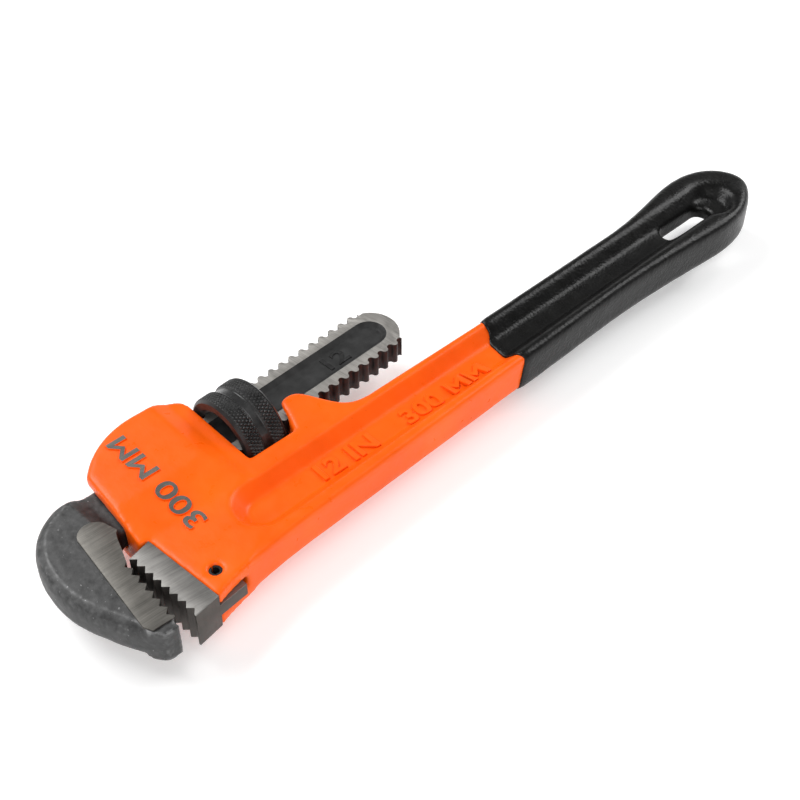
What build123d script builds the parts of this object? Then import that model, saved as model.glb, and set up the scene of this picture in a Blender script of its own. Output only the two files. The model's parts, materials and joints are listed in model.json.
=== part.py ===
from build123d import *
import math
import os

os.makedirs("parts", exist_ok=True)

# A straight pipe wrench lying on its side, in millimetres.  +X runs along the handle to the end of
# the grip, +Y is the side of the sliding shank and +Z is the thickness.  Everything is drawn about
# one datum, the point where the shank's axis meets the rear face of the head, on the mid-plane.
# The last section moves the wrench so that its origin is at the bottom centre of its box.

# ---------------------------------------------------------------- driving dimensions
# sliding shank and its thread
thread_pitch = 4.4
thread_depth = 1.8
shank_width = 20.7
shank_thickness = 7.8
shank_reach = 75.6
thread_start = -32.2
thread_run_out = 6.0
recess_depth = 1.6
recess_rim = 4.5
recess_start = -22.0
rest_tilt = 2.5
rock_range = 4.0

# knurled adjusting nut
nut_diameter = 29.4
nut_length = 15.1
nut_groove_width = 3.2
nut_groove_depth = 0.9
nut_edge = 1.1
ridge_crest = 0.5
ridge_root = 1.5
nut_front_gap = 1.3
nut_rear_gap = 1.1
nut_floor_gap = 1.3

# head of the housing
head_length = 41.3
head_thickness = 18.4
head_back_wall = 8.1
nose_reach = 2.9
nose_wall = 9.5
body_thickness = 13.2
edge_round = 1.5
lug_height = 13.0
lug_lean = 20.5
lug_crown = 4.6
lug_run = 29.0
lug_slot_reach = 40.0

# handle
handle_length = 220.5
handle_start_drop = 3.8
handle_width_head = 25.9
handle_width_grip = 22.4
rib_width = 3.9
web_thickness = 4.4
pocket_start = -17.3
pocket_start_round = 8.6
pocket_end_wall = 9.0
hang_hole_length = 25.0
hang_hole_width = 10.0
hang_hole_wall = 19.0

# dipped grip
grip_start = 92.0
grip_skin = 0.8
grip_round = 2.0

# heel jaw, in its own slanted seat
jaw_thickness = 13.4
jaw_depth = 8.0
jaw_lean = 5.5
jaw_tooth_lean = 1.8
jaw_teeth = 8
jaw_tooth_pitch = 3.5
jaw_tooth_depth = 1.6
tang_thickness = 4.4
tang_depth = 10.2
tang_setback = 3.0
slot_end_gap = 2.0
pin_diameter = 4.0
pin_wall = 0.8
pin_inset = 0.6

# hook jaw
jaw_gap = 0.9
jaw_wedge = 6.6
hook_thickness = 12.6
hook_round = 3.6
pad_width = 8.6

# spring set that steadies the shank in the head
leaf_thickness = 0.7
leaf_width = 7.4
leaf_length = 27.0
leaf_inset = 7.5
leaf_end_gap = 2.0
coil_diameter = 6.6
coil_wire = 0.8
coil_turns = 3.5
coil_length = 6.0
rivet_diameter = 2.6
rivet_length = 3.0
rivet_head = 0.5

# clearances
shank_side_gap = 0.7
shank_back_gap = 0.5
shank_front_gap = 0.5
leaf_gap = 0.3
coil_gap = 0.5
spring_gap = 0.1
tang_gap = 0.15
thread_gap = 0.3

# ---------------------------------------------------------------- values that follow
tilt = math.radians(rest_tilt)
half_shank = shank_width / 2
thread_root = half_shank - thread_depth
nut_radius = nut_diameter / 2
nut_centre = nut_front_gap + nut_length / 2
nut_centre_y = nut_centre * math.tan(tilt)
half_body = body_thickness / 2
half_head = head_thickness / 2
half_hole = shank_thickness / 2 + shank_side_gap

# the hole through the head leaves room for the shank at both ends of its rock
far_tilt = math.radians(rock_range - rest_tilt)
hole_back = half_shank + (nut_centre + head_length) * math.tan(far_tilt) + shank_back_gap
hole_front = -half_shank - head_length * math.tan(tilt) - shank_front_gap
head_back = hole_back + head_back_wall

# the leaf spring lies behind the shank, in a shallow relief of the loop's back wall, and a coil
# spring in a pocket of that wall presses on its middle
leaf_far = half_shank + leaf_gap + leaf_thickness
leaf_front = -head_length + leaf_inset
leaf_relief = nut_centre_y + leaf_far + (nut_centre - leaf_front) * math.tan(far_tilt) + leaf_gap
coil_x = leaf_front + leaf_length / 2
coil_foot = leaf_far + coil_x * math.tan(tilt)
coil_floor = coil_foot + coil_length

# the notch for the nut and the handle behind it
notch_floor = -nut_radius - nut_floor_gap
notch_length = nut_front_gap + nut_length + nut_rear_gap
handle_back = notch_floor - handle_start_drop
waist_y = handle_back - handle_width_head

# the slanted seat of the heel jaw: "down" runs outward along the seat, "into" points at the head
jaw_height = jaw_teeth * jaw_tooth_pitch + 1.1
seat_corner = Vector(-head_length + 0.1, hole_front - nose_wall)
seat_down = Vector(math.sin(math.radians(jaw_lean)), -math.cos(math.radians(jaw_lean)))
seat_into = Vector(math.cos(math.radians(jaw_lean)), math.sin(math.radians(jaw_lean)))


# ---------------------------------------------------------------- helpers
STANDING = (Align.CENTER, Align.CENTER, Align.MIN)


def on_seat(along, into):
    """A point in the heel jaw's seat frame: outward along the seat, and into the head."""
    point = seat_corner + seat_down * along + seat_into * into
    return (point.X, point.Y)


def prism(points, thickness):
    """A plate of the given thickness about the mid-plane, with the outline through the points."""
    return extrude(make_face(Polyline(*points, close=True)), thickness / 2, both=True)


def slab(x_low, x_high, y_low, y_high, thickness):
    """A plain block about the mid-plane."""
    box = Box(x_high - x_low, y_high - y_low, thickness)
    return Pos((x_low + x_high) / 2, (y_low + y_high) / 2, 0) * box


def profile_block(points, y_low, y_high):
    """A block between two Y values whose outline in X and Z runs through the points."""
    face = make_face(Polyline(*[(x, y_low, z) for x, z in points], close=True))
    return extrude(face, y_high - y_low, dir=(0, 1, 0))


def moved(points, distances):
    """The points of a curve moved to its left, each square to the chord between its neighbours."""
    result = []
    for number, (point, distance) in enumerate(zip(points, distances)):
        before = points[max(number - 1, 0)]
        after = points[min(number + 1, len(points) - 1)]
        chord = math.hypot(after[0] - before[0], after[1] - before[1])
        result.append((point[0] - (after[1] - before[1]) / chord * distance,
                       point[1] + (after[0] - before[0]) / chord * distance))
    return result


def to_shank(x, y):
    """A point of the wrench at rest, seen in the shank's own straight frame."""
    return (x * math.cos(tilt) + y * math.sin(tilt), -x * math.sin(tilt) + y * math.cos(tilt))


def rim_edges(solid, test):
    """The edges of the two broad faces whose midpoints pass the test."""
    rims = solid.faces().filter_by(Axis.Z).sort_by(Axis.Z)
    top, bottom = rims[-1], rims[0]
    return [e for face in (top, bottom) for e in face.edges() if test(e @ 0.5)]


# ---------------------------------------------------------------- handle outline
def handle_width(x):
    """Width of the handle between its two ribs, which narrows towards the grip."""
    return handle_width_head + (handle_width_grip - handle_width_head) * x / grip_start


def handle_outline(grow):
    """Outline of the grip end of the handle, grown all round by the thickness of a skin."""
    end = handle_length
    back = handle_back
    front = handle_back - handle_width_grip
    points = [
        (grip_start, back), (end - 71, back + 0.9), (end - 52, back + 1.7), (end - 33, back + 4.7),
        (end - 20, back + 6.2), (end - 7, back + 3.0), (end - 1.2, back - 3.0),
        (end, (back + front) / 2 + 1.0),
        (end - 3.4, front + 7.4), (end - 12, front + 2.0), (end - 24, front - 0.3), (end - 37, front + 0.2),
        (end - 52, front + 1.1), (end - 71, front + 1.7), (grip_start, front),
    ]
    return Spline(*moved(points, [grow] * len(points)), tangents=[(1, 0), (-1, -0.02)])


# ---------------------------------------------------------------- housing: head, handle and lug
def head_outline():
    """Head seen from above: straight mouth, domed back, flat rear face and the jaw's seat."""
    mouth_back = (-head_length, head_back - 11.6)
    crown = (-0.74 * head_length, head_back - 2.9)
    crown_end = (-0.36 * head_length, head_back)
    rear_shoulder = (-3.4, head_back - 1.6)
    rear_corner = (0, head_back - 6.8)
    arc = ThreePointArc(mouth_back, crown, crown_end)
    shoulder = Spline(crown_end, rear_shoulder, rear_corner, tangents=[(1, 0), (0, -1)])
    nose = on_seat(-0.4, -nose_reach)
    rest = Polyline(rear_corner, (0, handle_back - 12), on_seat(jaw_height, 11), on_seat(jaw_height, 0),
                    on_seat(-0.4, 0), nose, mouth_back)
    return make_face([arc, shoulder, rest])


def handle_plan():
    """Outline of the handle, the lug and the front of the head, seen from above."""
    outer = on_seat(jaw_height, 0)
    lug_foot = (notch_length, notch_floor)
    lean = math.tan(math.radians(lug_lean))
    lug_top = notch_floor + lug_height
    lug_edge = (notch_length + lean * (lug_height - lug_crown), lug_top - lug_crown)
    crown_top = (lug_edge[0] + lug_crown, lug_top)
    lug_heel = (crown_top[0] + 5.2, lug_top - 3.4)
    valley = (notch_length + lug_run - 9.0, handle_back + 2.2)
    flat = (notch_length + lug_run, handle_back)
    start = (grip_start, handle_back)
    tail = (grip_start, handle_back - handle_width_grip)
    waist = (0.0, waist_y)
    cheek = (pocket_start, waist_y - 1.3)
    lines = [
        Polyline((-2.0, notch_floor), lug_foot, lug_edge),
        ThreePointArc(lug_edge, (lug_edge[0] + 1.2, lug_top - 1.3), crown_top),
        Spline(crown_top, lug_heel, valley, flat, tangents=[(1, 0), (1, 0)]),
        Line(flat, start),
        handle_outline(0),
        Line(tail, waist),
        Spline(waist, cheek, outer, tangents=[(waist[0] - tail[0], waist[1] - tail[1]), (-1, -0.32)]),
        Polyline(outer, (-2.0, notch_floor)),
    ]
    return make_face(lines)


def pocket_face(inset, level):
    """Outline of the handle's pocket, moved inward by the inset and lifted to a level."""
    start = pocket_start + inset
    end = handle_length - pocket_end_wall - inset
    back = handle_back - rib_width - inset
    near = handle_back - handle_width(0) + rib_width + inset
    far = handle_back - handle_width_grip + rib_width + inset
    corner = start + pocket_start_round - inset * 0.5
    back_end = (end - 12.0 + inset * 0.5, back + 3.0)
    far_end = (end - 15.0 + inset * 0.5, far + 1.4)
    return Pos(0, 0, level) * make_face([
        Line((corner, back), back_end),
        ThreePointArc(back_end, (end, (back + far) / 2 + 2.4), far_end),
        Line(far_end, (corner, near)),
        ThreePointArc((corner, near), (start, (near + back) / 2), (corner, back)),
    ])


def pocket(side, skin):
    """I-beam pocket on one face, a long tapering slot with 45 degree walls, lined by a skin."""
    depth = (body_thickness - web_thickness) / 2
    lining = skin * (math.sqrt(2) - 1)
    over = 1.0
    top = half_body + skin
    cut = loft([pocket_face(lining - over, top + over), pocket_face(lining + depth, top - depth)], ruled=True)
    if side < 0:
        cut = cut.mirror(Plane.XY)
    return cut


def notch_centre_line(offset):
    """Y of a line beside the shank where it crosses the lug, at the far end of its rock."""
    reach = notch_length + lug_run - 9.0 - nut_centre
    return nut_centre_y + offset - reach * math.tan(far_tilt)


def coil_axis_place(y):
    """Placement on the coil spring's axis at height y, with its local Z along +Y."""
    return Pos(coil_x, y, 0) * Rot(-90, 0, 0)


def pin_place():
    """Placement of the heel jaw's roll pin, which crosses the tang."""
    x, y = on_seat(0.74 * jaw_height, 0.56 * tang_depth)
    return Pos(x, y, 0)


def hang_hole(width, length):
    """Slot-shaped hanging hole through the web near the end of the handle."""
    x = handle_length - hang_hole_wall - hang_hole_length / 2
    y = handle_back - handle_width_grip / 2 + 1.2
    return Pos(x, y, 0) * extrude(SlotOverall(length, width), 30, both=True)


def make_housing():
    """One-piece cast housing: head with its loop, nut notch, slotted lug and I-beam handle."""
    plan = handle_plan()
    body = extrude(plan, half_body, both=True)
    body = fillet(rim_edges(body, lambda p: True), edge_round)
    corner = on_seat(jaw_height, 0)
    above = make_face(Polyline(corner, (-2.0, notch_floor), (10, notch_floor), (10, 60), (-90, 60),
                               (-90, corner[1]), close=True))
    head = extrude(head_outline() & (plan + above), half_head, both=True)
    head = fillet(rim_edges(head, lambda p: p.Y > hole_front), edge_round)
    # the head is thickest over the loop and falls away to the seat and to the nut notch
    low = half_body + 0.3
    drop = [(30, half_head), (hole_front + 5.5, half_head), (seat_corner.Y, low), (-70, low)]
    cheeks = make_face(Polyline(*[(-70, y, z) for y, z in drop + [(y, -z) for y, z in reversed(drop)]],
                                close=True))
    head = head & extrude(cheeks, 140, dir=(1, 0, 0))
    slope = [(-70, half_head), (-10.5, half_head), (-4.5, half_body), (20, half_body)]
    head = head & profile_block(slope + [(x, -z) for x, z in reversed(slope)], -80, 40)
    solid = body + head

    # notch for the nut, open at the back and on both faces, with a leaning rear face at the lug
    lean = math.tan(math.radians(lug_lean))
    rise = head_back - notch_floor + 5
    top = notch_floor + rise
    notch = prism([(0, notch_floor), (notch_length, notch_floor), (notch_length + lean * rise, top), (0, top)],
                  head_thickness + 2)
    keep_within = slab(-1, notch_length + lean * lug_height, notch_floor, head_back + 9, 2 * head_thickness)
    solid = solid - (notch & keep_within)
    # loop for the shank, right through the head, and its slot through the lug
    solid = solid - slab(-head_length - 9, 1, hole_front, hole_back, 2 * half_hole)
    lug_slot = notch_centre_line(-half_shank - shank_back_gap)
    solid = solid - slab(notch_length - 1, notch_length + lug_slot_reach, lug_slot, head_back, 2 * half_hole)
    # relief for the leaf spring and pocket for the coil spring, both in the loop's back wall
    solid = solid - slab(leaf_front - leaf_end_gap, leaf_front + leaf_length + leaf_end_gap, hole_back - 1,
                         leaf_relief, leaf_width + 4 * leaf_gap)
    well = Cylinder(coil_diameter / 2 + coil_gap, coil_floor - hole_back + 1, align=STANDING)
    solid = solid - coil_axis_place(hole_back - 1) * well
    # slot for the heel jaw's tang, its rounded end, and the hole for the roll pin
    slot_end = tang_depth + slot_end_gap
    slot_top = tang_setback - 0.4
    slot_foot = jaw_height + 3
    tang_mouth = [on_seat(slot_top, -1), on_seat(slot_foot, -1), on_seat(slot_foot, slot_end),
                  on_seat(slot_top, slot_end)]
    solid = solid - prism(tang_mouth, tang_thickness + 2 * tang_gap)
    solid = solid - pin_place() * Cylinder(pin_diameter / 2, 40)
    # I-beam pockets and the hanging hole
    solid = solid - pocket(1, 0) - pocket(-1, 0)
    solid = solid - hang_hole(hang_hole_width, hang_hole_length)
    return solid


def make_heel_jaw():
    """Replaceable lower jaw: a toothed block with a flat tang that slides into the head's slot."""
    grow = jaw_height * math.tan(math.radians(jaw_tooth_lean))
    block = prism([on_seat(0, 0), on_seat(jaw_height, 0), on_seat(jaw_height + 0.5, -jaw_depth - grow),
                   on_seat(0.9, -jaw_depth)], jaw_thickness)
    tang = prism([on_seat(tang_setback, -0.5), on_seat(jaw_height, -0.5), on_seat(jaw_height, tang_depth),
                  on_seat(tang_setback, tang_depth)], tang_thickness)
    jaw = block + tang
    # the teeth are square notches right across the face
    for tooth in range(jaw_teeth):
        middle = 0.9 + (tooth + 0.5) * jaw_tooth_pitch
        face = jaw_depth + middle * math.tan(math.radians(jaw_tooth_lean))
        half = jaw_tooth_pitch / 2
        notch = [on_seat(middle - half, -face - 0.05), on_seat(middle, -face + jaw_tooth_depth),
                 on_seat(middle + half, -face - 0.05), on_seat(middle, -face - 2)]
        jaw = jaw - prism(notch, jaw_thickness + 2)
    return jaw - pin_place() * Cylinder(pin_diameter / 2, 40)


def make_pin():
    """Rolled spring pin with its lengthwise slit."""
    length = body_thickness - 2 * pin_inset
    ring = Circle(pin_diameter / 2) - Circle(pin_diameter / 2 - pin_wall)
    ring = ring - Pos(0, pin_diameter / 2) * Rectangle(0.6, pin_diameter)
    return pin_place() * extrude(ring, length / 2, both=True)


def edge_profile(level, side):
    """Rounded thread teeth along one edge of the shank: equal arcs, crest and root in turn."""
    quarter = thread_pitch / 4
    start = thread_start + (thread_pitch / 2 if side < 0 else 0)
    count = int((shank_reach - half_shank + thread_run_out - start) / thread_pitch)
    middle = level - thread_depth / 2
    lines = []
    for tooth in range(count):
        x = start + tooth * thread_pitch
        half_way = (x + 2 * quarter, side * middle)
        root = (x + 3 * quarter, side * (level - thread_depth))
        lines.append(ThreePointArc((x, side * middle), (x + quarter, side * level), half_way))
        lines.append(ThreePointArc(half_way, root, (x + 4 * quarter, side * middle)))
    return lines, start, start + count * thread_pitch


def make_shank():
    """Flat threaded shank with a round end and a shallow recess on both faces."""
    back_lines, back_start, back_end = edge_profile(half_shank, 1)
    front_lines, front_start, front_end = edge_profile(half_shank, -1)
    middle = half_shank - thread_depth / 2
    centre = shank_reach - half_shank
    neck = -head_length - 9.0
    outline = back_lines + front_lines + [
        Polyline((back_end, middle), (back_end, thread_root), (centre + 5.5, thread_root)),
        Polyline((front_end, -middle), (front_end, -thread_root), (centre + 5.5, -thread_root)),
    ]
    tip = ThreePointArc((centre + 5.5, thread_root), (shank_reach, 0), (centre + 5.5, -thread_root))
    root = Polyline((back_start, middle), (back_start, thread_root), (neck, thread_root),
                    (neck, -half_shank + 0.2), (front_start, -half_shank + 0.2), (front_start, -middle))
    blade = extrude(make_face(outline + [tip, root]), shank_thickness / 2, both=True)
    length = shank_reach - recess_rim - recess_start
    width = shank_width - 2 * recess_rim
    place = Pos(recess_start + length / 2, 0, shank_thickness / 2)
    recess = extrude(place * SlotOverall(length, width), -recess_depth, taper=45)
    return blade - recess - recess.mirror(Plane.XY)


def make_hook_jaw():
    """Forged hook with ground pads and square teeth, and the threaded shank, in one piece."""
    grow = jaw_height * math.tan(math.radians(jaw_tooth_lean))
    first = on_seat(0.9, -jaw_depth)
    last = on_seat(jaw_height + 0.5, -jaw_depth - grow)
    face_angle = math.atan2(last[1] - first[1], last[0] - first[0]) - math.radians(jaw_wedge)
    root = Vector(first[0] - jaw_gap, first[1] + 0.2)
    root = Vector(*to_shank(root.X, root.Y))
    down = Vector(math.cos(face_angle - tilt), math.sin(face_angle - tilt))
    out = Vector(down.Y, -down.X)

    def on_face(along, outward):
        point = root + down * along + out * outward
        return (point.X, point.Y)

    reach = jaw_teeth * jaw_tooth_pitch
    mouth = -head_length - 3.0
    throat = [(mouth, -half_shank + 0.1), (mouth - 3.1, -half_shank - 2.2), on_face(-3.6, -1.1),
              on_face(0, 0)]
    back = [
        (mouth + 1.0, thread_root), (mouth - 7.7, thread_root + 2.0), (mouth - 14.7, thread_root - 0.3),
        (mouth - 20.2, -half_shank + 14.3), (mouth - 24.5, -half_shank + 7.3), on_face(-7.5, 20.8),
        on_face(0.07 * reach, 19.9), on_face(0.43 * reach, 16.0), on_face(0.76 * reach, 11.1),
        on_face(reach - 1.9, 7.4), on_face(reach + 0.3, 3.9), on_face(reach, 0.9), on_face(reach - 1.2, 0),
    ]

    def layer(level, inset):
        shares = [0] + [1] * (len(back) - 5) + [0.75, 0.4, 0.15, 0]
        tip_tangent = (-down.X - 0.4 * out.X, -down.Y - 0.4 * out.Y)
        bow = Spline(*moved(back, [share * inset for share in shares]), tangents=[(-1, 0.12), tip_tangent])
        return Pos(0, 0, level) * make_face([
            Line(back[0], (mouth + 1.0, -half_shank + 0.1)),
            Line((mouth + 1.0, -half_shank + 0.1), throat[0]),
            Spline(*throat, tangents=[(-1, 0), (down.X + 0.25 * out.X, down.Y + 0.25 * out.Y)]),
            Line(throat[-1], back[-1]),
            bow,
        ])

    # the back of the forging is rounded over in two steps on each face
    thick = hook_thickness / 2
    plan = layer(0, 0)
    half = extrude(plan, thick - hook_round)
    steps = [layer(thick - hook_round, 0), layer(thick - 0.35 * hook_round, 0.25 * hook_round),
             layer(thick, hook_round)]
    half = half + loft(steps[:2], ruled=True) + loft(steps[1:], ruled=True)
    plate = half + half.mirror(Plane.XY)
    # the neck thins down from the forging to the shank
    thin = shank_thickness / 2
    fall = [(-200, thick), (mouth - 5.5, thick), (mouth - 1.0, thin), (50, thin)]
    plate = plate & profile_block(fall + [(x, -z) for x, z in reversed(fall)], -90, 60)
    pad = make_face([
        Line(on_face(reach + 2, pad_width + 0.6), on_face(-15, pad_width - 1.8)),
        ThreePointArc(on_face(-15, pad_width - 1.8), on_face(-18.6, 2.2), on_face(-14.5, -3.0)),
        Polyline(on_face(-14.5, -3.0), on_face(-9, -5), on_face(reach + 2, -5),
                 on_face(reach + 2, pad_width + 0.6)),
    ])
    pads = extrude(pad & plan, jaw_thickness / 2, both=True)
    hook = plate + pads + make_shank()
    for tooth in range(jaw_teeth):
        middle = (tooth + 0.5) * jaw_tooth_pitch
        half = jaw_tooth_pitch / 2
        notch = [on_face(middle - half, -0.05), on_face(middle, jaw_tooth_depth),
                 on_face(middle + half, -0.05),
                 on_face(middle, -2)]
        hook = hook - prism(notch, jaw_thickness + 2)
    return Rot(0, 0, rest_tilt) * hook


def make_nut():
    """Knurled nut: plain bore with a helical ridge that runs in the shank's teeth."""
    bore = math.hypot(half_shank, shank_thickness / 2) + thread_gap
    crest = math.hypot(thread_root, shank_thickness / 2) + thread_gap
    tube = Cylinder(nut_radius, nut_length) - Cylinder(bore, nut_length + 2)
    tube = chamfer(tube.edges().filter_by(GeomType.CIRCLE).group_by(SortBy.RADIUS)[-1], nut_edge)
    floor = Cylinder(nut_radius - nut_groove_depth, nut_groove_width)
    band = Cylinder(nut_radius + 1, nut_groove_width) - floor
    # the ridge starts where it meets a root of the thread on the shank's back edge
    root = (thread_start + thread_pitch / 2 - nut_centre / math.cos(tilt)) % thread_pitch
    turns = math.ceil(nut_length / thread_pitch) + 2
    height = turns * thread_pitch
    low = root - math.ceil((root + nut_length / 2 + 1.0) / thread_pitch) * thread_pitch
    path = Helix(pitch=thread_pitch, height=height, radius=crest)
    rise = bore + 0.4 - crest
    outline = [(0, -ridge_crest / 2), (rise, -ridge_root / 2), (rise, ridge_root / 2), (0, ridge_crest / 2)]
    start = Plane(origin=path @ 0, x_dir=(1, 0, 0), z_dir=path % 0)
    section = start * make_face(Polyline(*outline, close=True))
    ridge = Pos(0, 0, low) * sweep(section, path=path, is_frenet=True)
    ridge = ridge & Cylinder(bore + 0.6, nut_length)
    return tube - band + ridge


def make_leaf():
    """Leaf spring that lies along the back edge of the shank."""
    bar = Pos(coil_x, leaf_far - leaf_thickness / 2, 0) * Box(leaf_length, leaf_thickness, leaf_width)
    return Rot(0, 0, rest_tilt) * bar


def make_rivet():
    """Flanged rivet on the leaf spring that keeps the coil spring in the middle."""
    pin = Cylinder(rivet_diameter / 2, rivet_length, align=STANDING)
    flange = Cylinder(coil_diameter / 2 - coil_wire - 4 * spring_gap, rivet_head, align=STANDING)
    return Rot(0, 0, rest_tilt) * Pos(coil_x, leaf_far, 0) * Rot(-90, 0, 0) * (pin + flange)


def make_coil():
    """Coil spring that stands in the back wall and presses the leaf spring against the shank."""
    radius = (coil_diameter - coil_wire) / 2
    rise = coil_length - coil_wire - 3 * spring_gap
    path = Helix(pitch=rise / coil_turns, height=rise, radius=radius)
    wire = sweep(Plane(origin=path @ 0, z_dir=path % 0) * Circle(coil_wire / 2), path=path, is_frenet=True)
    return coil_axis_place(coil_foot + coil_wire / 2 + 2 * spring_gap) * wire


def make_grip(core):
    """Dipped grip: a skin that follows the ribs, the pockets and the hole, closed over the end."""
    bow = handle_outline(grip_skin)
    skin = extrude(make_face([bow, Line(bow @ 0, bow @ 1)]), half_body + grip_skin, both=True)
    skin = fillet(rim_edges(skin, lambda p: p.X > grip_start + 1), grip_round)
    skin = skin - pocket(1, grip_skin) - pocket(-1, grip_skin)
    skin = skin - hang_hole(hang_hole_width - 2 * grip_skin, hang_hole_length - 2 * grip_skin)
    return skin - core


# ---------------------------------------------------------------- the whole wrench
housing = make_housing()
nut_place = Rot(0, 0, rest_tilt) * Pos(nut_centre / math.cos(tilt), 0, 0) * Rot(0, 90, 0)
parts = {
    "handle_housing": housing,
    "grip": make_grip(housing),
    "heel_jaw": make_heel_jaw(),
    "heel_jaw_pin": make_pin(),
    "hook_jaw": make_hook_jaw(),
    "adjusting_nut": nut_place * make_nut(),
    "leaf_spring": make_leaf(),
    "spring_rivet": make_rivet(),
    "coil_spring": make_coil(),
}

# the row's origin is the bottom centre of the box round every part
boxes = [shape.bounding_box() for shape in parts.values()]
low = Vector(*[min(getattr(b.min, axis) for b in boxes) for axis in "XYZ"])
high = Vector(*[max(getattr(b.max, axis) for b in boxes) for axis in "XYZ"])
shift = Vector(-(low.X + high.X) / 2, -(low.Y + high.Y) / 2, -low.Z)
for name, shape in parts.items():
    export_step(Pos(*shift) * shape, f"parts/{name}.step")
    print(name, round(shape.volume), len(shape.solids()))

nut_point = shift + Vector(nut_centre, nut_centre_y, 0)
print("shift", *[round(v, 4) for v in shift], "size", *[round(v, 3) for v in high - low])
print("nut centre and pivot", *[round(v, 4) for v in nut_point])
print("nut turns per metre of travel, in radians", round(2 * math.pi / thread_pitch * 1000, 4))
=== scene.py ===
import json
import math
import bmesh
import bpy
from mathutils import Matrix, Vector, noise
from mathutils.bvhtree import BVHTree
from mathutils.kdtree import KDTree


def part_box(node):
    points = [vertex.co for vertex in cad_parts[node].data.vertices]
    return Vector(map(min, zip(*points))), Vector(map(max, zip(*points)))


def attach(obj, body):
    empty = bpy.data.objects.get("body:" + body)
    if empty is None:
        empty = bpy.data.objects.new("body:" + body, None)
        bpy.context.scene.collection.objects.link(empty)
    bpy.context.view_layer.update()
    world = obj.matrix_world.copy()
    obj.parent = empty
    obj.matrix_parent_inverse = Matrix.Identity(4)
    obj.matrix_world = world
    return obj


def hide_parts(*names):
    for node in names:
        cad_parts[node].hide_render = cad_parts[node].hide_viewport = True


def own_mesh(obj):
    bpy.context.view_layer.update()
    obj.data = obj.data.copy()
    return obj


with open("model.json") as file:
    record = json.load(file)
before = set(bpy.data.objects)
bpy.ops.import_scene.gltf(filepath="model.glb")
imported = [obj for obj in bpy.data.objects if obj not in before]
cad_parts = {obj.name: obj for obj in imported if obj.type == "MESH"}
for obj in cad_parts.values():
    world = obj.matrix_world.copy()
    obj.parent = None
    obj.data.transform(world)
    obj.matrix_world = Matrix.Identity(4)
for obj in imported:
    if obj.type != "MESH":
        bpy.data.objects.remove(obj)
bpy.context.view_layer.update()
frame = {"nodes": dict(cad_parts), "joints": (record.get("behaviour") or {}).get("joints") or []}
nodes = frame["nodes"]
collection = bpy.context.scene.collection

# ---------------------------------------------------------------- housing
# One iron casting, painted orange: head and loop, nut notch and I-beam handle.  Its edges have the soft
# radius of a painted casting, and the pockets and holes stay open.
# Places are given in mm from the point where the shank's axis meets the head's rear face, on the
# mid-plane, and at() turns such a place into the row frame.  The nut and the shank tilt a little.
MM = 0.001
TILT = math.radians(2.5)
rock_joint = next(joint for joint in frame["joints"] if joint["name"] == "jaw_rock")
NUT_AT = Vector(rock_joint["pos_m"])
NUT_CENTRE = 8.85
DATUM = NUT_AT - Vector((NUT_CENTRE * MM, NUT_CENTRE * MM * math.tan(TILT), 0))


def at(x, y, z=0.0):
    """A place in mm from that point, in the row frame."""
    return DATUM + Vector((x, y, z)) * MM


def link(name, mesh, body):
    """A new object for a mesh in the row frame, riding on a body."""
    mesh.name = name
    piece = bpy.data.objects.new(name, mesh)
    collection.objects.link(piece)
    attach(piece, body)
    return piece


def copy_of(name):
    """A bmesh with a CAD node's mesh, its doubles merged."""
    bm = bmesh.new()
    bm.from_mesh(nodes[name].data)
    bmesh.ops.remove_doubles(bm, verts=bm.verts, dist=2e-6)
    return bm


def cut(bm, point, normal):
    """Remove what lies on the normal's side of a plane, and close the cut."""
    geom = list(bm.verts) + list(bm.edges) + list(bm.faces)
    done = bmesh.ops.bisect_plane(
        bm, geom=geom, plane_co=point, plane_no=normal, clear_outer=True, dist=1e-7)
    edges = [e for e in done["geom_cut"] if isinstance(e, bmesh.types.BMEdge)]
    bmesh.ops.holes_fill(bm, edges=edges, sides=0)


def mesh_of(bm):
    """The bmesh as a new mesh."""
    mesh = bpy.data.meshes.new("mesh")
    bm.normal_update()
    bm.to_mesh(mesh)
    bm.free()
    return mesh


def applied(mesh, *modifiers):
    """The mesh with modifiers applied, each given as (type, {setting: value})."""
    holder = bpy.data.objects.new("holder", mesh)
    collection.objects.link(holder)
    for kind, settings in modifiers:
        modifier = holder.modifiers.new(kind, kind)
        for key, value in settings.items():
            setattr(modifier, key, value)
    bpy.context.view_layer.update()
    result = bpy.data.meshes.new_from_object(holder.evaluated_get(bpy.context.evaluated_depsgraph_get()))
    bpy.data.objects.remove(holder)
    return result


def smooth(mesh, angle=None):
    """Smooth shading all over, or only across edges flatter than an angle in degrees."""
    mesh.shade_smooth()
    if angle is not None:
        mesh.set_sharp_from_angle(angle=math.radians(angle))
    return mesh


def skinned(mesh, *skins):
    """The mesh with these materials in place of its own."""
    mesh.materials.clear()
    for skin in skins:
        mesh.materials.append(skin)
    return mesh


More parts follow.
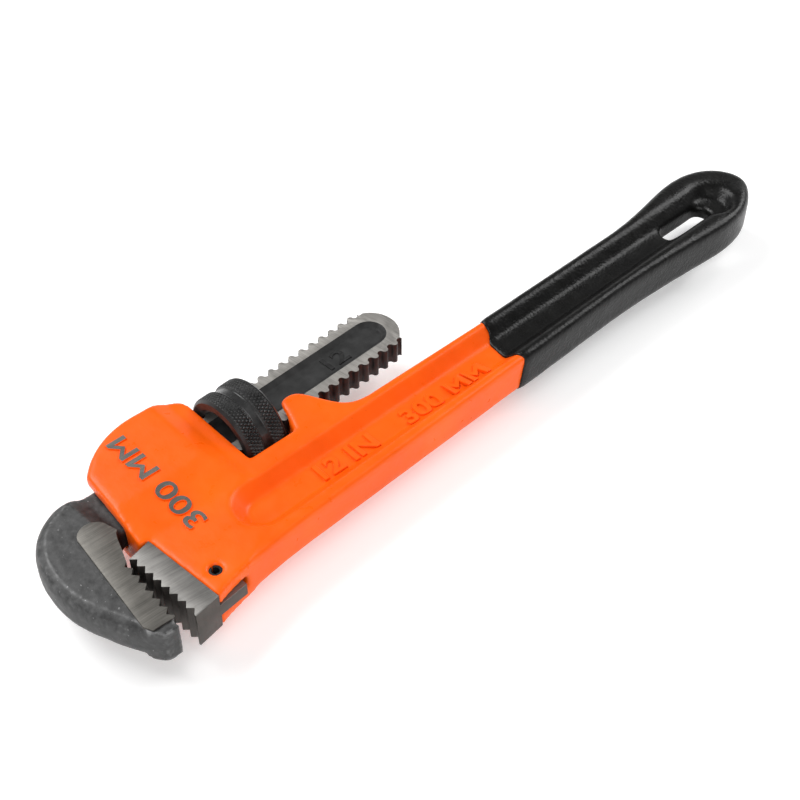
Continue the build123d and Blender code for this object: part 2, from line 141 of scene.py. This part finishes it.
class Material:
    """A node material on a Principled shader, with short helpers for its nodes."""

    def __init__(self, name, rough, metal=0.0, gloss=0.5):
        self.material = bpy.data.materials.new(name)
        self.material.use_nodes = True
        self.tree = self.material.node_tree
        self.shader = self.tree.nodes["Principled BSDF"]
        self.shader.inputs["Roughness"].default_value = rough
        self.shader.inputs["Metallic"].default_value = metal
        self.shader.inputs["Specular IOR Level"].default_value = gloss
        self.place = self.tree.nodes.new("ShaderNodeTexCoord").outputs["Object"]

    def node(self, kind, values=None, links=None, **settings):
        node = self.tree.nodes.new(kind)
        for key, value in settings.items():
            setattr(node, key, value)
        for key, value in (values or {}).items():
            node.inputs[key].default_value = value
        for key, source in (links or {}).items():
            self.tree.links.new(source, node.inputs[key])
        return node

    def stretched(self, scale, turn):
        """Object coordinates turned about Z, then scaled, for lines that run one way."""
        shrink = tuple(1 / s for s in scale)
        values = {"Scale": shrink, "Rotation": (0, 0, turn)}
        node = self.node("ShaderNodeMapping", values, {"Vector": self.place}, vector_type="TEXTURE")
        return node.outputs["Vector"]

    def noise(self, scale, detail=4.0, place=None, rough=0.55):
        values = {"Scale": scale, "Detail": detail, "Roughness": rough}
        return self.node("ShaderNodeTexNoise", values, {"Vector": place or self.place}).outputs["Fac"]

    def ramp(self, source, stops):
        node = self.node("ShaderNodeValToRGB", links={"Fac": source})
        ramp = node.color_ramp
        ramp.elements[0].position, ramp.elements[0].color = stops[0]
        ramp.elements[1].position, ramp.elements[1].color = stops[-1]
        for position, colour in stops[1:-1]:
            ramp.elements.new(position).color = colour
        return node.outputs["Color"]

    def mix(self, factor, base, other, **settings):
        """One colour over another; factor is a number or a source."""
        values, links = ({"Factor": factor}, {}) if isinstance(factor, float) else ({}, {"Factor": factor})
        node = self.node("ShaderNodeMix", values, links, data_type="RGBA", **settings)
        for socket, colour in ((6, base), (7, other)):
            if isinstance(colour, tuple):
                node.inputs[socket].default_value = colour
            else:
                self.tree.links.new(colour, node.inputs[socket])
        return node.outputs[2]

    def into(self, socket, source):
        self.tree.links.new(source, self.shader.inputs[socket])

    def bump(self, layers):
        """Stack height layers, each (source, strength, distance in mm)."""
        normal = None
        for source, strength, distance in layers:
            links = {"Height": source}
            if normal is not None:
                links["Normal"] = normal
            values = {"Strength": strength, "Distance": distance * MM}
            normal = self.node("ShaderNodeBump", values, links).outputs["Normal"]
        self.into("Normal", normal)
        return self


def grey(value, tint=(1.0, 1.0, 1.0)):
    return (value * tint[0], value * tint[1], value * tint[2], 1.0)


def enamel():
    """Gloss orange enamel over a rough casting: soft orange peel, faint colour drift and dust specks."""
    m = Material("orange_enamel", 0.34, gloss=0.22)
    drift = m.ramp(m.noise(60, 3), [(0.3, (0.86, 0.098, 0.0020, 1)), (0.55, (0.92, 0.112, 0.0026, 1)),
                                    (0.8, (0.97, 0.130, 0.0045, 1))])
    speck = m.ramp(m.noise(1300, 2), [(0.74, grey(0.0)), (0.80, grey(0.7))])
    m.into("Base Color", m.mix(speck, drift, (0.55, 0.05, 0.004, 1)))
    m.into("Roughness", m.ramp(m.noise(240, 5), [(0.3, grey(0.26)), (0.75, grey(0.42))]))
    peel = [(m.noise(150, 2), 0.5, 0.14), (m.noise(620, 3), 0.6, 0.09), (m.noise(1900, 2), 0.4, 0.03)]
    return m.bump(peel).material


def recast(name, cut_at, away, voxel, rounds):
    """A CAD node cut at a plane, remeshed as one skin and smoothed, so every edge gets a soft radius."""
    bm = copy_of(name)
    cut(bm, cut_at, away)
    return applied(mesh_of(bm), ("REMESH", {"mode": "VOXEL", "voxel_size": voxel * MM, "adaptivity": 0.0}),
                   ("SMOOTH", {"factor": 0.5, "iterations": rounds}))


ENAMEL = enamel()
CASTING_END = 118.0
CAST_VOXEL, CAST_ROUNDS = 0.62, 9
housing_mesh = recast("handle_housing", at(CASTING_END, 0), Vector((1, 0, 0)), CAST_VOXEL, CAST_ROUNDS)
housing = link("housing_casting", smooth(skinned(housing_mesh, ENAMEL)), "housing")
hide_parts("handle_housing")

# ---------------------------------------------------------------- raised figures
# Generic size figures were cast with the housing, in orange on the handle.  On the head their tops are
# ground bare.  Each follows the slope of the surface it stands on.
def ground(name, shade, turn, tint=(1.0, 0.97, 0.92)):
    """Surface-ground steel: fine parallel grinding lines, faint stains and small scratches."""
    m = Material(name, 0.48, metal=0.75)
    lines = m.noise(1.0, 3, m.stretched((3600, 110, 110), turn), 0.7)
    broad = m.noise(1.0, 2, m.stretched((600, 50, 50), turn), 0.6)
    half = m.node("ShaderNodeMath", {1: 0.4}, {0: broad}, operation="MULTIPLY").outputs[0]
    mix = m.node("ShaderNodeMath", {1: 0.6}, {0: lines, 2: half}, operation="MULTIPLY_ADD").outputs[0]
    stops = [(0.36, grey(shade * 0.74, tint)), (0.5, grey(shade, tint)), (0.64, grey(shade * 1.26, tint))]
    tone = m.ramp(mix, stops)
    stain = m.ramp(m.noise(130, 5), [(0.35, grey(0.62)), (0.62, grey(1.0))])
    m.into("Base Color", m.mix(0.5, tone, stain, blend_type="MULTIPLY"))
    m.into("Roughness", m.ramp(lines, [(0.3, grey(0.40)), (0.7, grey(0.58))]))
    return m.bump([(lines, 0.4, 0.015)]).material


PAD_STEEL = ground("ground_pad_steel", 0.145, math.radians(88), (1.0, 0.95, 0.86))
# How far a figure reaches below the surface it stands on, and how wide its broken edge is, in mm.
FIGURE_ROOT, FIGURE_EDGE = 0.4, 0.14


def figures(name, words, centre, turn, length, height, rise, host, body, skins, bold=0.022):
    """Raised figures, length by height in mm and as bold as that share of a letter, laid on a mesh."""
    curve = bpy.data.curves.new(name, "FONT")
    curve.body = words
    curve.size = 1.0
    curve.extrude = 0.5
    curve.bevel_depth = bold
    curve.bevel_resolution = 1
    curve.resolution_u = 5
    holder = bpy.data.objects.new("words", curve)
    collection.objects.link(holder)
    bpy.context.view_layer.update()
    mesh = bpy.data.meshes.new_from_object(holder.evaluated_get(bpy.context.evaluated_depsgraph_get()))
    bpy.data.objects.remove(holder)
    bm = bmesh.new()
    bm.from_mesh(mesh)
    bmesh.ops.remove_doubles(bm, verts=bm.verts, dist=1e-4)
    xs = [v.co.x for v in bm.verts]
    ys = [v.co.y for v in bm.verts]
    centre_x, centre_y = (min(xs) + max(xs)) / 2, (min(ys) + max(ys)) / 2
    spin = Matrix.Rotation(turn, 3, "Z")
    corners = [v.co.copy() for v in host.vertices]
    tree = BVHTree.FromPolygons(corners, [tuple(p.vertices) for p in host.polygons])
    share_x, share_y = length * MM / (max(xs) - min(xs)), height * MM / (max(ys) - min(ys))
    for v in bm.verts:
        flat = Vector(((v.co.x - centre_x) * share_x, (v.co.y - centre_y) * share_y, 0))
        spot = Vector(centre) + spin @ flat
        hit = tree.ray_cast(Vector((spot.x, spot.y, 0.1)), Vector((0, 0, -1)))[0]
        up = rise if v.co.z > 0.515 else rise - FIGURE_EDGE if v.co.z > 0.4 else -FIGURE_ROOT
        v.co = Vector((spot.x, spot.y, hit.z + up * MM))
    mesh = skinned(mesh_of(bm), *skins)
    if len(skins) > 1:
        for polygon in mesh.polygons:
            polygon.material_index = 1 if polygon.normal.z > 0.7 else 0
    return link(name, smooth(mesh, 40), body)


figures("size_figures_head", "300 MM", at(-27.0, -6.5), math.radians(90), length=42.0,
        height=6.8, rise=0.55, host=housing_mesh, body="housing",
        skins=[ENAMEL, PAD_STEEL])
figures("size_figures_handle", "12 IN    300 MM", at(47.5, -33.2), math.radians(-1.1), length=69.0,
        height=7.2, rise=0.65, host=housing_mesh, body="housing",
        skins=[ENAMEL], bold=0.034)

# ---------------------------------------------------------------- grip
# Black vinyl, made by dipping the handle's end: it rounds over every edge, lines the pockets and the
# hanging hole, and thins towards the wavy line where the liquid stopped.
def vinyl():
    """Dipped black vinyl: satin, with a fine leathery orange peel."""
    m = Material("black_vinyl", 0.36, gloss=0.24)
    tones = [(0.3, grey(0.0030)), (0.75, grey(0.0050, (1, 0.97, 0.88)))]
    m.into("Base Color", m.ramp(m.noise(90, 4), tones))
    m.into("Roughness", m.ramp(m.noise(300, 4), [(0.3, grey(0.25)), (0.75, grey(0.40))]))
    cells = m.node("ShaderNodeTexVoronoi", {"Scale": 1250.0}, {"Vector": m.place}, feature="SMOOTH_F1")
    return m.bump([(m.noise(420, 3), 0.8, 0.14), (cells.outputs["Distance"], 0.7, 0.12)]).material


VINYL = vinyl()
# Where the dip stops: (mm across the handle from its middle, mm past the nearest point of the line).
HANDLE_MIDDLE = -31.0
LINE_START = 90.6
LINE_AT = [(-12.0, 4.0), (-7.0, 3.2), (-3.0, 0.8), (3.0, 0.0), (7.5, 0.8), (11.5, 1.8)]
FRONT_SIDE, SIDE_DROP, SIDE_TOP = 10.5, 2.0, 6.0
RIPPLE, RIPPLE_SCALE = 0.35, 160


def dip_line(point):
    """X, in the row frame, where the dip ends beside a point of the surface."""
    local = (point - DATUM) / MM
    across = HANDLE_MIDDLE - local.y
    value = LINE_AT[0][1] if across < LINE_AT[0][0] else LINE_AT[-1][1]
    for (a, value_a), (b, value_b) in zip(LINE_AT, LINE_AT[1:]):
        if a <= across <= b:
            share = (across - a) / (b - a)
            value = value_a + (value_b - value_a) * share * share * (3 - 2 * share)
    if across > FRONT_SIDE:
        value -= SIDE_DROP * min(1.0, max(0.0, (SIDE_TOP - local.z) / (2 * SIDE_TOP)))
    value += RIPPLE * noise.noise(point * RIPPLE_SCALE)
    return DATUM.x + (LINE_START + value) * MM


SKIN_START, SKIN_VOXEL, SKIN_ROUNDS = 78.0, 0.6, 36
EDGE_SKIN, FULL_SKIN, THICKENS_OVER, RIM_DEPTH = 0.30, 0.85, 2.4, 0.8
bm = bmesh.new()
bm.from_mesh(recast("handle_housing", at(SKIN_START, 0), Vector((-1, 0, 0)), SKIN_VOXEL, SKIN_ROUNDS))
bm.normal_update()
growth = []
for v in bm.verts:
    share = min(1.0, max(0.0, (v.co.x - dip_line(v.co)) / MM / THICKENS_OVER)) ** 0.5
    growth.append(v.normal * (EDGE_SKIN + (FULL_SKIN - EDGE_SKIN) * share) * MM)
for v, step in zip(bm.verts, growth):
    v.co += step
bare = [f for f in bm.faces if f.calc_center_median().x < dip_line(f.calc_center_median())]
bmesh.ops.delete(bm, geom=bare, context="FACES")
bmesh.ops.delete(bm, geom=[v for v in bm.verts if not v.link_faces], context="VERTS")
bm.normal_update()
inward = {v: v.normal.copy() for v in bm.verts if v.is_boundary}
for v in inward:
    v.co.x = dip_line(v.co)
rim = bmesh.ops.extrude_edge_only(bm, edges=[e for e in bm.edges if e.is_boundary])
tree = KDTree(len(inward))
facing = list(inward.items())
for number, (v, normal) in enumerate(facing):
    tree.insert(v.co, number)
tree.balance()
for v in [g for g in rim["geom"] if isinstance(g, bmesh.types.BMVert)]:
    v.co -= facing[tree.find(v.co)[1]][1] * RIM_DEPTH * MM
grip = link("dipped_grip", smooth(skinned(mesh_of(bm), VINYL)), "housing")
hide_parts("grip")

# ---------------------------------------------------------------- heel jaw
# The replaceable toothed block, with its tang in the head.  Hard steel, ground on its broad faces and
# duller on its sides, with just a broken edge.
JAW_STEEL = ground("ground_jaw_steel", 0.20, math.radians(84), (1.0, 0.97, 0.92))
SIDE_STEEL = ground("dull_jaw_sides", 0.09, math.radians(88), (1.0, 0.90, 0.82))
COPLANAR, CORNER, CRISP = math.radians(0.6), math.radians(32), 35
# The least part of a normal that points up or down on a broad face or its broken edge.
BROAD = 0.35


def machined(bm, edge):
    """Mesh with its coplanar faces merged and its edges broken by edge mm."""
    bmesh.ops.dissolve_limit(bm, angle_limit=COPLANAR, verts=bm.verts, edges=bm.edges)
    bevel = {"width": edge * MM, "segments": 2, "limit_method": "ANGLE", "angle_limit": CORNER,
             "use_clamp_overlap": True}
    return applied(mesh_of(bm), ("BEVEL", bevel))


def top_and_sides(mesh, flats, sides):
    """One steel for the ground broad faces and their broken edges, another for the sides."""
    skinned(mesh, sides, flats)
    for polygon in mesh.polygons:
        polygon.material_index = 1 if abs(polygon.normal.z) > BROAD else 0
    return mesh


heel_mesh = top_and_sides(machined(copy_of("heel_jaw"), 0.16), JAW_STEEL, SIDE_STEEL)
heel = link("toothed_heel_jaw", smooth(heel_mesh, CRISP), "housing")
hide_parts("heel_jaw")

# ---------------------------------------------------------------- hook jaw, forged body
# The hook and the shank are one forging.  The hook's body keeps its rough black scale, rounded all
# over, with bright flecks where it was knocked and worn.
SHANK = Matrix.Rotation(TILT, 4, "Z")
ALONG_SHANK = SHANK.to_3x3() @ Vector((1, 0, 0))


def on_shank(x, y, z=0.0):
    """A place in mm along and across the tilted shank, in the row frame."""
    return DATUM + SHANK @ (Vector((x, y, z)) * MM)


def forging():
    """Forged and blackened steel: rough scale, pits, and bare flecks where it was knocked."""
    m = Material("forged_steel", 0.5, metal=0.55)
    scale = m.noise(330, 6, rough=0.62)
    pits = m.node("ShaderNodeTexVoronoi", {"Scale": 520.0}, {"Vector": m.place}).outputs["Distance"]
    fleck = m.ramp(m.noise(950, 3), [(0.68, grey(0.0)), (0.76, grey(1.0))])
    base = m.ramp(scale, [(0.3, grey(0.030)), (0.55, grey(0.058)), (0.78, grey(0.10))])
    edge = m.node("ShaderNodeNewGeometry").outputs["Pointiness"]
    edge = m.ramp(edge, [(0.505, grey(0.0)), (0.535, grey(0.8))])
    patchy = m.ramp(m.noise(420, 5), [(0.4, grey(0)), (0.6, grey(1))])
    worn = m.mix(1.0, edge, patchy, blend_type="MULTIPLY")
    both = m.node("ShaderNodeMath", links={0: fleck, 1: worn}, operation="MAXIMUM").outputs[0]
    m.into("Base Color", m.mix(both, base, grey(0.26)))
    m.into("Roughness", m.ramp(scale, [(0.3, grey(0.42)), (0.75, grey(0.62))]))
    return m.bump([(scale, 0.7, 0.16), (pits, 0.35, 0.08), (m.noise(1500, 3), 0.3, 0.03)]).material


FORGED = forging()
HOOK_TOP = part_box("hook_jaw")[1].z
HALF_PAD = (HOOK_TOP - DATUM.z) / MM
PAD_STEP = 0.6
BODY_HALF = HALF_PAD - PAD_STEP
# The tooth line's first crest, its direction towards the tip, and into the jaw.
TOOTH_ROOT = on_shank(-50.998, -21.485)
TOOTH_DOWN = (SHANK @ Vector((-0.0945, -0.9955, 0))).normalized()
TOOTH_OUT = Vector((TOOTH_DOWN.y, -TOOTH_DOWN.x, 0))
BEHIND_TEETH, PAD_END = 2.4, 25.0
BODY_END, BODY_VOXEL, BODY_ROUNDS = -33.0, 0.55, 18

bm = bmesh.new()
bm.from_mesh(recast("hook_jaw", on_shank(BODY_END, 0), ALONG_SHANK, BODY_VOXEL, BODY_ROUNDS))
for v in bm.verts:
    reach = v.co - TOOTH_ROOT
    along, outward = reach.dot(TOOTH_DOWN) / MM, reach.dot(TOOTH_OUT) / MM
    if -3.0 < along < PAD_END - 0.8 and outward < BEHIND_TEETH:
        v.co += TOOTH_OUT * (BEHIND_TEETH - outward) * MM
    height = (v.co.z - DATUM.z) / MM
    v.co.z = DATUM.z + max(-BODY_HALF, min(BODY_HALF, height)) * MM
body_mesh = applied(mesh_of(bm), ("SMOOTH", {"factor": 0.5, "iterations": 3}))
bm = bmesh.new()
bm.from_mesh(body_mesh)
bm.normal_update()
for v in bm.verts:
    dents, grain = 0.10 * noise.noise(v.co * 260), 0.05 * noise.noise(v.co * 900)
    v.co += v.normal * (dents + grain) * MM
hook_body = link("hook_forging", smooth(skinned(mesh_of(bm), FORGED)), "hook")
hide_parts("hook_jaw")

# ---------------------------------------------------------------- hook jaw, teeth and pads
# The bite of the hook and the pads on both its sides are milled and ground, and stand a little proud of
# the forged body.  Their outline is the CAD's top face.
bm = copy_of("hook_jaw")
bm.normal_update()
others = [f for f in bm.faces if f.normal.z < 0.99 or f.calc_center_median().z < HOOK_TOP - 0.01 * MM]
bmesh.ops.delete(bm, geom=others, context="FACES")
bmesh.ops.delete(bm, geom=[v for v in bm.verts if not v.link_faces], context="VERTS")
bmesh.ops.dissolve_limit(bm, angle_limit=COPLANAR, verts=bm.verts, edges=bm.edges)
lower = bmesh.ops.extrude_face_region(bm, geom=list(bm.faces))
bmesh.ops.translate(bm, vec=Vector((0, 0, -2 * HALF_PAD * MM)),
                    verts=[g for g in lower["geom"] if isinstance(g, bmesh.types.BMVert)])
bmesh.ops.recalc_face_normals(bm, faces=bm.faces)
cut(bm, TOOTH_ROOT + TOOTH_DOWN * PAD_END * MM, TOOTH_DOWN)
PAD_CORNER = 7.2
corner = TOOTH_ROOT + (TOOTH_DOWN * PAD_END + TOOTH_OUT * PAD_CORNER) * MM
cut(bm, corner, TOOTH_DOWN * 0.5 + TOOTH_OUT * 0.87)
pad_mesh = top_and_sides(machined(bm, 0.14), PAD_STEEL, SIDE_STEEL)
pads = link("hook_teeth_and_pads", smooth(pad_mesh, CRISP), "hook")
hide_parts("hook_jaw")

# ---------------------------------------------------------------- hook jaw, threaded shank
# The flat shank is machined from the same forging: blackened teeth on both edges, and a bright brushed
# rim round a shallow dark recess with the size figure in it.
def blackened(name, rough, shade):
    """Black oxide on machined steel, its shade varying a little at random."""
    m = Material(name, rough, metal=0.2, gloss=0.4)
    m.into("Base Color", m.ramp(m.noise(280, 5), [(0.35, grey(shade * 0.5)), (0.7, grey(shade * 1.4))]))
    m.into("Roughness", m.ramp(m.noise(500, 3), [(0.3, grey(rough - 0.08)), (0.75, grey(rough + 0.1))]))
    return m.bump([(m.noise(1400, 3), 0.3, 0.02)]).material


RIM_STEEL = ground("brushed_shank_steel", 0.34, math.radians(8), (1.0, 0.96, 0.90))
DARK_RECESS = blackened("dark_recess", 0.50, 0.018)
TOOTH_BLACK = blackened("blackened_teeth", 0.42, 0.020)
GROOVE_BLACK = blackened("black_oxide_polished", 0.24, 0.03)
RECESS_ENDS, RECESS_RADIUS, RIM_LEVEL = (-16.15, 65.25), 5.9, 3.6
SHANK_START = -36.0
TEETH, RIM, RECESS, FORGED_END = range(4)

bm = copy_of("hook_jaw")
cut(bm, on_shank(SHANK_START, 0), -ALONG_SHANK)
shank_mesh = skinned(machined(bm, 0.22), TOOTH_BLACK, RIM_STEEL, DARK_RECESS, FORGED)
for polygon in shank_mesh.polygons:
    spot = SHANK.inverted() @ (polygon.center - DATUM) / MM
    flat = abs(polygon.normal.z)
    beyond = spot.x - min(RECESS_ENDS[1], max(RECESS_ENDS[0], spot.x))
    if flat > 0.95:
        polygon.material_index = RIM if abs(spot.z) > RIM_LEVEL else RECESS
    elif spot.x < BODY_END:
        polygon.material_index = FORGED_END
    elif flat > 0.3 and math.hypot(beyond, spot.y) < RECESS_RADIUS:
        polygon.material_index = RECESS
    else:
        polygon.material_index = RIM if flat > 0.4 else TEETH
shank = link("threaded_shank", smooth(shank_mesh, CRISP), "hook")
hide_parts("hook_jaw")
figures("size_figures_shank", "12", on_shank(50.0, 0.0), TILT, length=9.0, height=6.0, rise=0.35,
        host=shank_mesh, body="hook", skins=[GROOVE_BLACK])

# ---------------------------------------------------------------- adjusting nut
# Turned from bar and blackened: two bands of diamond knurl, a plain polished groove between them, broken
# corners, and the helical ridge in the bore that runs in the shank's teeth.
NUT_BLACK = blackened("black_oxide", 0.40, 0.022)
NUT_RADIUS, NUT_HALF, CORNER_BREAK = 14.7, 7.55, 1.0
GROOVE_HALF, GROOVE_SIDE, GROOVE_DEPTH = 1.25, 0.5, 0.9
KNURL_DEPTH, KNURL_STARTS, KNURL_TWIST = 0.45, 72, 0.50
BORE, CREST, CREST_HALF, CREST_FLANK = 11.36, 9.70, 0.25, 0.5
THREAD_START, PITCH = -32.2, 4.4
RIDGE_PHASE = THREAD_START + PITCH / 2 - NUT_CENTRE / math.cos(TILT)
BAND_START = GROOVE_HALF + GROOVE_SIDE


def knurl(turn, along):
    """Height of the diamond pattern, 0 to 1, at a turn (0 to 1) and a place along the axis in mm."""
    right = (turn * KNURL_STARTS + along * KNURL_TWIST) % 1.0
    left = (turn * KNURL_STARTS - along * KNURL_TWIST) % 1.0
    return min(1.0, 1.5 * min(1 - abs(2 * right - 1), 1 - abs(2 * left - 1)))


def outside(turn, along):
    """Outer radius of the nut, in mm."""
    from_middle = abs(along)
    from_end = NUT_HALF - from_middle
    if from_middle < GROOVE_HALF:
        return NUT_RADIUS - GROOVE_DEPTH
    if from_middle < BAND_START:
        return NUT_RADIUS - GROOVE_DEPTH + (from_middle - GROOVE_HALF) / GROOVE_SIDE * 0.55
    if from_end < CORNER_BREAK:
        return NUT_RADIUS - CORNER_BREAK + from_end - 0.05
    fade = min(1.0, (from_end - CORNER_BREAK) / 0.3, (from_middle - BAND_START) / 0.3)
    return NUT_RADIUS - KNURL_DEPTH + KNURL_DEPTH * fade * knurl(turn, along)


def inside(turn, along):
    """Bore radius with the ridge, in mm."""
    phase = ((along - RIDGE_PHASE) / PITCH - turn) % 1.0
    away = min(phase, 1 - phase) * PITCH
    return CREST + (BORE - CREST) * min(1.0, max(0.0, (away - CREST_HALF) / CREST_FLANK))


# A plain sleeve is spun first, finely enough for the knurl, and its radii are cut to shape after.
OUTSIDE_ROWS, BORE_ROWS, SPIN_STEPS = 90, 36, 576
MID_WALL = (BORE + NUT_RADIUS) / 2
bm = bmesh.new()
profile = [bm.verts.new((-NUT_HALF + 2 * NUT_HALF * row / OUTSIDE_ROWS, NUT_RADIUS, 0))
           for row in range(OUTSIDE_ROWS + 1)]
profile += [bm.verts.new((NUT_HALF - 2 * NUT_HALF * row / BORE_ROWS, BORE, 0))
            for row in range(BORE_ROWS + 1)]
for number, v in enumerate(profile):
    bm.edges.new((v, profile[(number + 1) % len(profile)]))
bmesh.ops.spin(bm, geom=bm.verts[:] + bm.edges[:], cent=(0, 0, 0), axis=(1, 0, 0), angle=2 * math.pi,
               steps=SPIN_STEPS, use_merge=True)
bmesh.ops.recalc_face_normals(bm, faces=bm.faces)
for face in bm.faces:
    middle = face.calc_center_median()
    face.material_index = 1 if abs(middle.x) < GROOVE_HALF + 0.05 and middle.yz.length > MID_WALL else 0
for v in bm.verts:
    turn = math.atan2(v.co.y, -v.co.z) / (2 * math.pi)
    shape = outside if v.co.yz.length > MID_WALL else inside
    radius = shape(turn, v.co.x)
    v.co.y, v.co.z = radius * math.sin(2 * math.pi * turn), -radius * math.cos(2 * math.pi * turn)
bmesh.ops.transform(bm, matrix=Matrix.Translation(NUT_AT) @ SHANK @ Matrix.Scale(MM, 4), verts=bm.verts)
nut_mesh = mesh_of(bm)
nut_mesh.materials.append(NUT_BLACK)
nut_mesh.materials.append(GROOVE_BLACK)
nut = link("knurled_nut", smooth(nut_mesh, 38), "nut")
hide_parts("adjusting_nut")

# ---------------------------------------------------------------- heel jaw pin
# A rolled spring pin driven through the head and the heel jaw's tang.  Blackened spring steel.
skinned(nodes["heel_jaw_pin"].data, GROOVE_BLACK)

# ---------------------------------------------------------------- leaf spring and rivet
# A flat spring behind the shank in the head, with the flanged rivet that holds the coil spring on it.
# Both are bright spring steel.
SPRING = ground("spring_steel", 0.32, 0.0, (1.0, 0.97, 0.92))
for name in ("leaf_spring", "spring_rivet"):
    skinned(nodes[name].data, SPRING)

# ---------------------------------------------------------------- coil spring
# Wound wire between the casting's pocket and the leaf spring.  The real coil shortens towards the pocket's
# end as the shank rocks back; here it rides on the housing at its full length.
coil_mesh = skinned(mesh_of(copy_of("coil_spring")), SPRING)
coil = link("wound_coil", smooth(coil_mesh, 40), "housing")
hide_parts("coil_spring")
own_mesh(coil)

# ---------------------------------------------------------------- camera
# A long lens looks down on the wrench from the front and the left, with the hook nearest.
camera_data = bpy.data.cameras.new("camera")
camera_data.lens = 65.2
camera_data.sensor_width = 36.0
camera = bpy.data.objects.new("camera", camera_data)
collection.objects.link(camera)
camera.location = at(-167.1, -263.5, 326.1)
camera.rotation_euler = Vector((0.480, 0.519, -0.7071)).to_track_quat("-Z", "Y").to_euler()
bpy.context.scene.camera = camera

# ---------------------------------------------------------------- floor
# A broad sheet of white paper, which glows a little as on a light table, so that shadows stay soft.
bm = bmesh.new()
bmesh.ops.create_grid(bm, x_segments=1, y_segments=1, size=4)
floor_mesh = mesh_of(bm)
floor = bpy.data.objects.new("floor", floor_mesh)
collection.objects.link(floor)
paper = Material("paper", 0.9)
paper.into("Base Color", paper.ramp(paper.noise(3, 2), [(0.3, grey(0.86)), (0.7, grey(0.88))]))
paper.shader.inputs["Emission Color"].default_value = (1, 1, 1, 1)
paper.shader.inputs["Emission Strength"].default_value = 0.27
floor_mesh.materials.append(paper.material)

# ---------------------------------------------------------------- light
# Three soft boxes: the key behind, a fill in front, and a rim from the grip's end.  The studio's walls
# are bright at the horizon and dark above, so dark pieces stay dark and their edges catch light.
def area_light(name, place, size, power):
    data = bpy.data.lights.new(name, "AREA")
    data.shape = "RECTANGLE"
    data.size, data.size_y = size
    data.energy = power
    lamp = bpy.data.objects.new(name, data)
    lamp.location = place
    lamp.rotation_euler = (-Vector(place)).to_track_quat("-Z", "Y").to_euler()
    collection.objects.link(lamp)


area_light("key", (-0.30, 0.75, 0.95), (0.9, 0.6), 13)
area_light("fill", (-0.7, -0.75, 0.7), (1.0, 0.8), 7)
area_light("rim", (0.8, -0.1, 0.7), (0.6, 0.6), 6)
world = bpy.data.worlds.new("world")
world.use_nodes = True
sky = world.node_tree
height = sky.nodes.new("ShaderNodeSeparateXYZ")
sky.links.new(sky.nodes.new("ShaderNodeTexCoord").outputs["Generated"], height.inputs[0])
fade = sky.nodes.new("ShaderNodeValToRGB")
fade.color_ramp.elements[0].position, fade.color_ramp.elements[0].color = 0.06, (1, 1, 1, 1)
fade.color_ramp.elements[1].position, fade.color_ramp.elements[1].color = 0.35, (0.2, 0.2, 0.2, 1)
sky.links.new(height.outputs["Z"], fade.inputs["Fac"])
sky.links.new(fade.outputs["Color"], sky.nodes["Background"].inputs["Color"])
bpy.context.scene.world = world
bpy.context.scene.view_settings.view_transform = "Standard"
